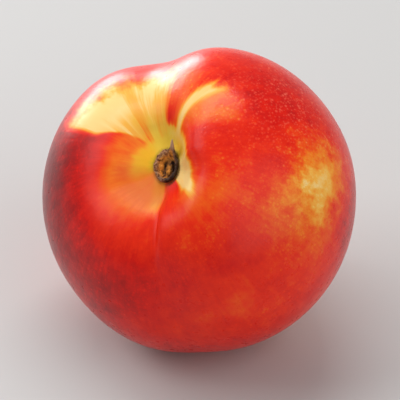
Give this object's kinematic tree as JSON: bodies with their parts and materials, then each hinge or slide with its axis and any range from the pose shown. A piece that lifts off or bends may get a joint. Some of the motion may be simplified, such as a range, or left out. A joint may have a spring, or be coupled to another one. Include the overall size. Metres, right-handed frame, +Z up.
{
  "type": "nectarine",
  "caption": "Ripe red and yellow nectarine with a deep stalk hollow, a suture and a dry woody stalk stub, lying on a small flat spot.",
  "frame": {"origin": "middle of the small flat spot underneath, on which the fruit rests", "axes": "+Z up from the resting surface; -Y towards the suture and the stalk hollow; +X towards the larger cheek"},
  "size_m": [0.068, 0.0661, 0.0636],
  "materials": {
    "skin": "smooth waxy fruit skin, glossy, red over yellow",
    "dry_stalk": "dry, rough, broken woody stalk"
  },
  "bodies": {
    "root": {"fruit": "skin", "stalk_stub": "dry_stalk"}
  },
  "joints": []
}
